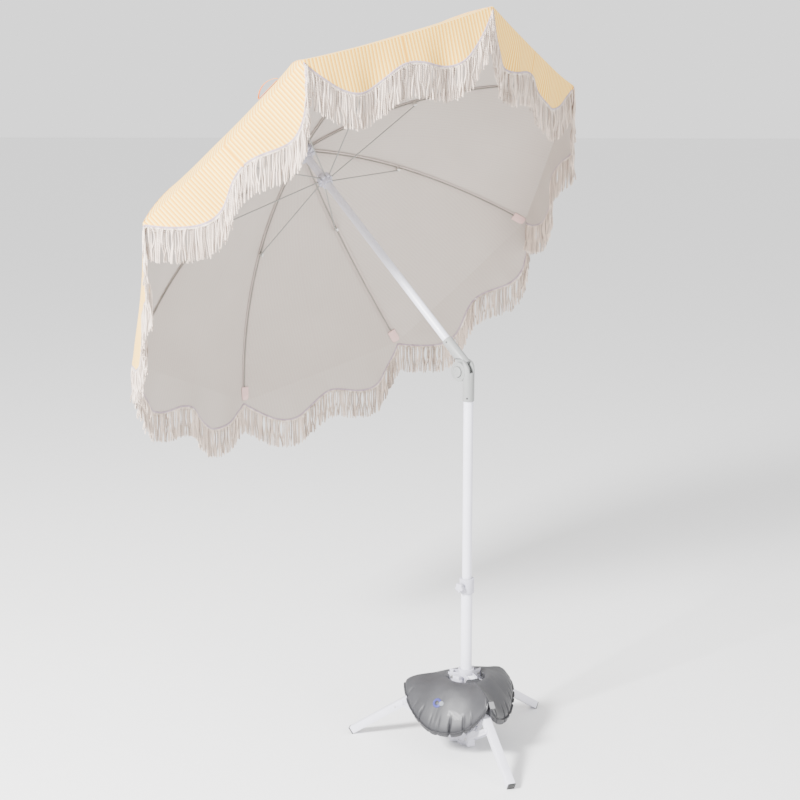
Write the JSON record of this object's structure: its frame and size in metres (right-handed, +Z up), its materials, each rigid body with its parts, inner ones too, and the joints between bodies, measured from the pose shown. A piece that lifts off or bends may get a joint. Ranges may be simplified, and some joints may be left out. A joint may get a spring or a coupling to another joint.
{
  "type": "beach umbrella",
  "caption": "Tilting fringed beach umbrella: striped scalloped canopy on hinged ribs, telescoping pole, push-button tilt knuckle and folding leg stand with a water bag.",
  "frame": {"origin": "on the ground under the middle of the foot hub, on the pole's axis", "axes": "+Z up along the lower pole; +X to the right and +Y away from the viewer, in the pictured view"},
  "size_m": [1.5232, 1.4917, 2.4164],
  "materials": {
    "white_paint": "satin",
    "white_plastic": "satin",
    "grey_plastic": "satin",
    "steel": "satin",
    "rib_paint": "satin",
    "black_plastic": "satin",
    "valve_plastic": "gloss",
    "canopy_cloth": "matte",
    "trim_cloth": "matte",
    "bag_vinyl": "satin"
  },
  "bodies": {
    "stand": {"stand_tube": "white_paint", "foot_hub": "white_paint", "clamp_collar": "white_plastic", "brace_pin_1": "steel", "brace_pin_2": "steel", "brace_pin_3": "steel"},
    "hub": {"leg_hub": "white_plastic", "water_bag": "bag_vinyl", "bag_valve": "valve_plastic", "hub_pin_1": "steel", "hub_pin_2": "steel", "hub_pin_3": "steel"},
    "clamp_screw": {"clamp_knob": "white_plastic"},
    "hub_screw": {"hub_knob": "white_plastic"},
    "plug": {"pole_plug": "black_plastic"},
    "mast": {"lower_pole": "white_paint", "tilt_lower": "grey_plastic", "tilt_bolt": "steel"},
    "button": {"tilt_button": "grey_plastic"},
    "head": {"tilt_upper": "grey_plastic", "upper_pole": "white_paint", "crown": "white_plastic", "finial": "white_plastic", "canopy": "canopy_cloth"},
    "slider": {"runner": "white_plastic"},
    "catch": {"runner_catch": "white_plastic"},
    "leg1": {"leg_1": "white_paint", "foot_cap_1": "black_plastic"},
    "brace1": {"brace_1": "white_paint"},
    "leg2": {"leg_2": "white_paint", "foot_cap_2": "black_plastic"},
    "brace2": {"brace_2": "white_paint"},
    "leg3": {"leg_3": "white_paint", "foot_cap_3": "black_plastic"},
    "brace3": {"brace_3": "white_paint"},
    "rib1": {"rib_1": "rib_paint"},
    "strut1": {"strut_1": "steel"},
    "flap1": {"valance_1": "trim_cloth"},
    "rib2": {"rib_2": "rib_paint"},
    "strut2": {"strut_2": "steel"},
    "flap2": {"valance_2": "trim_cloth"},
    "rib3": {"rib_3": "rib_paint"},
    "strut3": {"strut_3": "steel"},
    "flap3": {"valance_3": "trim_cloth"},
    "rib4": {"rib_4": "rib_paint"},
    "strut4": {"strut_4": "steel"},
    "flap4": {"valance_4": "trim_cloth"},
    "rib5": {"rib_5": "rib_paint"},
    "strut5": {"strut_5": "steel"},
    "flap5": {"valance_5": "trim_cloth"},
    "rib6": {"rib_6": "rib_paint"},
    "strut6": {"strut_6": "steel"},
    "flap6": {"valance_6": "trim_cloth"},
    "rib7": {"rib_7": "rib_paint"},
    "strut7": {"strut_7": "steel"},
    "flap7": {"valance_7": "trim_cloth"},
    "rib8": {"rib_8": "rib_paint"},
    "strut8": {"strut_8": "steel"},
    "flap8": {"valance_8": "trim_cloth"}
  },
  "joints": [
    {"name": "leg_hub_slide", "type": "slide", "parent": "stand", "child": "hub", "axis": [0, 0, 1], "range_m": [0, 0.19264]},
    {"name": "leg_1_fold", "type": "hinge", "parent": "hub", "child": "leg1", "pos_m": [-0.04452, 0.00657, 0.235], "axis": [-0.1461, -0.9893, 0], "range_deg": [0, 53.6]},
    {"name": "brace_1_fold", "type": "hinge", "parent": "stand", "child": "brace1", "pos_m": [-0.04155, 0.00613, 0.028], "axis": [0.1461, 0.9893, 0], "range_deg": [0, 55.68]},
    {"name": "leg_2_fold", "type": "hinge", "parent": "hub", "child": "leg2", "pos_m": [0.01657, -0.04184, 0.235], "axis": [0.9298, 0.3681, 0], "range_deg": [0, 53.6]},
    {"name": "brace_2_fold", "type": "hinge", "parent": "stand", "child": "brace2", "pos_m": [0.01546, -0.03905, 0.028], "axis": [-0.9298, -0.3681, 0], "range_deg": [0, 55.68]},
    {"name": "leg_3_fold", "type": "hinge", "parent": "hub", "child": "leg3", "pos_m": [0.02795, 0.03527, 0.235], "axis": [-0.7837, 0.6211, 0], "range_deg": [0, 53.6]},
    {"name": "brace_3_fold", "type": "hinge", "parent": "stand", "child": "brace3", "pos_m": [0.02609, 0.03291, 0.028], "axis": [0.7837, -0.6211, 0], "range_deg": [0, 55.68]},
    {"name": "clamp_knob_turn", "type": "hinge", "parent": "stand", "child": "clamp_screw", "pos_m": [-0.01863, -0.02351, 0.553], "axis": [-0.6211, -0.7837, 0], "continuous": true},
    {"name": "hub_knob_turn", "type": "hinge", "parent": "hub", "child": "hub_screw", "pos_m": [-0.02485, -0.03135, 0.234], "axis": [-0.6211, -0.7837, 0], "continuous": true},
    {"name": "height_slide", "type": "slide", "parent": "stand", "child": "plug", "axis": [0, 0, 1], "range_m": [-0.15, 0.2]},
    {"name": "mast_turn", "type": "hinge", "parent": "plug", "child": "mast", "pos_m": [0, 0, 0.24], "axis": [0, 0, 1], "continuous": true},
    {"name": "tilt_button_push", "type": "slide", "parent": "mast", "child": "button", "axis": [0.6987, 0.7154, 0], "range_m": [0, 0.0025], "stiffness_N_per_m": 900},
    {"name": "tilt", "type": "hinge", "parent": "mast", "child": "head", "pos_m": [-0.02146, 0.02096, 1.2687], "axis": [-0.6987, -0.7154, 0], "range_deg": [-51.03, 0]},
    {"name": "runner_slide", "type": "slide", "parent": "head", "child": "slider", "axis": [0.5562, -0.5432, -0.6289], "range_m": [0, 0.63635], "deforming": ["canopy", "valance_1", "valance_2", "valance_3", "valance_4", "valance_5", "valance_6", "valance_7", "valance_8"]},
    {"name": "runner_catch_push", "type": "slide", "parent": "slider", "child": "catch", "axis": [0.45, -0.4394, 0.7775], "range_m": [0, 0.0022], "stiffness_N_per_m": 500},
    {"name": "rib_1_fold", "type": "hinge", "parent": "head", "child": "rib1", "pos_m": [-0.59151, 0.55029, 1.9656], "axis": [0.8231, 0.2557, 0.5071], "range_deg": [0, 66.26]},
    {"name": "strut_1_fold", "type": "hinge", "parent": "slider", "child": "strut1", "pos_m": [-0.50258, 0.47763, 1.87072], "axis": [-0.8231, -0.2557, -0.5071], "range_deg": [0, 67.08]},
    {"name": "valance_1_hang", "type": "hinge", "parent": "rib1", "child": "flap1", "pos_m": [-0.48836, -0.34357, 2.24896], "axis": [-0.8231, -0.2557, -0.5071], "range_deg": [0, 109.4]},
    {"name": "rib_2_fold", "type": "hinge", "parent": "head", "child": "rib2", "pos_m": [-0.57305, 0.56274, 1.97118], "axis": [0.663, 0.7463, -0.0582], "range_deg": [0, 66.26]},
    {"name": "strut_2_fold", "type": "hinge", "parent": "slider", "child": "strut2", "pos_m": [-0.49008, 0.48995, 1.87114], "axis": [-0.663, -0.7463, 0.0582], "range_deg": [0, 67.08]},
    {"name": "valance_2_hang", "type": "hinge", "parent": "rib2", "child": "flap2", "pos_m": [0.06565, 0.02999, 2.41632], "axis": [-0.663, -0.7463, 0.0582], "range_deg": [0, 117.21]},
    {"name": "rib_3_fold", "type": "hinge", "parent": "head", "child": "rib3", "pos_m": [-0.56338, 0.58195, 1.96313], "axis": [0.1146, 0.7997, -0.5893], "range_deg": [0, 66.26]},
    {"name": "strut_3_fold", "type": "hinge", "parent": "slider", "child": "strut3", "pos_m": [-0.48656, 0.50438, 1.86179], "axis": [-0.1146, -0.7997, 0.5893], "range_deg": [0, 67.08]},
    {"name": "valance_3_hang", "type": "hinge", "parent": "rib3", "child": "flap3", "pos_m": [0.35556, 0.60633, 2.17494], "axis": [-0.1146, -0.7997, 0.5893], "range_deg": [0, 105.14]},
    {"name": "rib_4_fold", "type": "hinge", "parent": "head", "child": "rib4", "pos_m": [-0.56818, 0.59667, 1.94618], "axis": [-0.501, 0.3847, -0.7753], "range_deg": [0, 66.26]},
    {"name": "strut_4_fold", "type": "hinge", "parent": "slider", "child": "strut4", "pos_m": [-0.49408, 0.51248, 1.84814], "axis": [0.501, -0.3847, 0.7753], "range_deg": [0, 67.08]},
    {"name": "valance_4_hang", "type": "hinge", "parent": "rib4", "child": "flap4", "pos_m": [0.21153, 1.04785, 1.66621], "axis": [0.501, -0.3847, 0.7753], "range_deg": [0, 60.98]},
    {"name": "rib_5_fold", "type": "hinge", "parent": "head", "child": "rib5", "pos_m": [-0.58464, 0.59827, 1.93024], "axis": [-0.8231, -0.2557, -0.5071], "range_deg": [0, 66.26]},
    {"name": "strut_5_fold", "type": "hinge", "parent": "slider", "child": "strut5", "pos_m": [-0.50824, 0.50949, 1.8382], "axis": [0.8231, 0.2557, 0.5071], "range_deg": [0, 67.08]},
    {"name": "valance_5_hang", "type": "hinge", "parent": "rib5", "child": "flap5", "pos_m": [-0.28206, 1.09591, 1.18815], "axis": [0.8231, 0.2557, 0.5071], "range_deg": [0, 23.12]},
    {"name": "rib_6_fold", "type": "hinge", "parent": "head", "child": "rib6", "pos_m": [-0.6031, 0.58582, 1.92466], "axis": [-0.663, -0.7463, 0.0582], "range_deg": [0, 66.26]},
    {"name": "strut_6_fold", "type": "hinge", "parent": "slider", "child": "strut6", "pos_m": [-0.52075, 0.49717, 1.83778], "axis": [0.663, 0.7463, -0.0582], "range_deg": [0, 67.08]},
    {"name": "valance_6_hang", "type": "hinge", "parent": "rib6", "child": "flap6", "pos_m": [-0.83607, 0.72236, 1.02079], "axis": [0.663, 0.7463, -0.0582], "range_deg": [0, 15.31]},
    {"name": "rib_7_fold", "type": "hinge", "parent": "head", "child": "rib7", "pos_m": [-0.61277, 0.56661, 1.93271], "axis": [-0.1146, -0.7997, 0.5893], "range_deg": [0, 66.26]},
    {"name": "strut_7_fold", "type": "hinge", "parent": "slider", "child": "strut7", "pos_m": [-0.52427, 0.48273, 1.84714], "axis": [0.1146, 0.7997, -0.5893], "range_deg": [0, 67.08]},
    {"name": "valance_7_hang", "type": "hinge", "parent": "rib7", "child": "flap7", "pos_m": [-1.12598, 0.14601, 1.26217], "axis": [0.1146, 0.7997, -0.5893], "range_deg": [0, 27.38]},
    {"name": "rib_8_fold", "type": "hinge", "parent": "head", "child": "rib8", "pos_m": [-0.60797, 0.55189, 1.94967], "axis": [0.501, -0.3847, 0.7753], "range_deg": [0, 66.26]},
    {"name": "strut_8_fold", "type": "hinge", "parent": "slider", "child": "strut8", "pos_m": [-0.51675, 0.47464, 1.86078], "axis": [-0.501, 0.3847, -0.7753], "range_deg": [0, 67.08]},
    {"name": "valance_8_hang", "type": "hinge", "parent": "rib8", "child": "flap8", "pos_m": [-0.98195, -0.29551, 1.7709], "axis": [-0.501, 0.3847, -0.7753], "range_deg": [0, 71.55]}
  ],
  "couplings": [
    {"joint": "leg_1_fold", "follows": "leg_hub_slide", "rad_per_m": 4.8556},
    {"joint": "brace_1_fold", "follows": "leg_hub_slide", "rad_per_m": 5.0441},
    {"joint": "leg_2_fold", "follows": "leg_hub_slide", "rad_per_m": 4.8556},
    {"joint": "brace_2_fold", "follows": "leg_hub_slide", "rad_per_m": 5.0441},
    {"joint": "leg_3_fold", "follows": "leg_hub_slide", "rad_per_m": 4.8556},
    {"joint": "brace_3_fold", "follows": "leg_hub_slide", "rad_per_m": 5.0441},
    {"joint": "rib_1_fold", "follows": "runner_slide", "rad_per_m": 1.8172},
    {"joint": "strut_1_fold", "follows": "runner_slide", "rad_per_m": 1.8397},
    {"joint": "valance_1_hang", "follows": "runner_slide", "rad_per_m": 3.0003},
    {"joint": "rib_2_fold", "follows": "runner_slide", "rad_per_m": 1.8172},
    {"joint": "strut_2_fold", "follows": "runner_slide", "rad_per_m": 1.8397},
    {"joint": "valance_2_hang", "follows": "runner_slide", "rad_per_m": 3.2145},
    {"joint": "rib_3_fold", "follows": "runner_slide", "rad_per_m": 1.8172},
    {"joint": "strut_3_fold", "follows": "runner_slide", "rad_per_m": 1.8397},
    {"joint": "valance_3_hang", "follows": "runner_slide", "rad_per_m": 2.8835},
    {"joint": "rib_4_fold", "follows": "runner_slide", "rad_per_m": 1.8172},
    {"joint": "strut_4_fold", "follows": "runner_slide", "rad_per_m": 1.8397},
    {"joint": "valance_4_hang", "follows": "runner_slide", "rad_per_m": 1.6723},
    {"joint": "rib_5_fold", "follows": "runner_slide", "rad_per_m": 1.8172},
    {"joint": "strut_5_fold", "follows": "runner_slide", "rad_per_m": 1.8397},
    {"joint": "valance_5_hang", "follows": "runner_slide", "rad_per_m": 0.63414},
    {"joint": "rib_6_fold", "follows": "runner_slide", "rad_per_m": 1.8172},
    {"joint": "strut_6_fold", "follows": "runner_slide", "rad_per_m": 1.8397},
    {"joint": "valance_6_hang", "follows": "runner_slide", "rad_per_m": 0.41992},
    {"joint": "rib_7_fold", "follows": "runner_slide", "rad_per_m": 1.8172},
    {"joint": "strut_7_fold", "follows": "runner_slide", "rad_per_m": 1.8397},
    {"joint": "valance_7_hang", "follows": "runner_slide", "rad_per_m": 0.75099},
    {"joint": "rib_8_fold", "follows": "runner_slide", "rad_per_m": 1.8172},
    {"joint": "strut_8_fold", "follows": "runner_slide", "rad_per_m": 1.8397},
    {"joint": "valance_8_hang", "follows": "runner_slide", "rad_per_m": 1.9621}
  ]
}
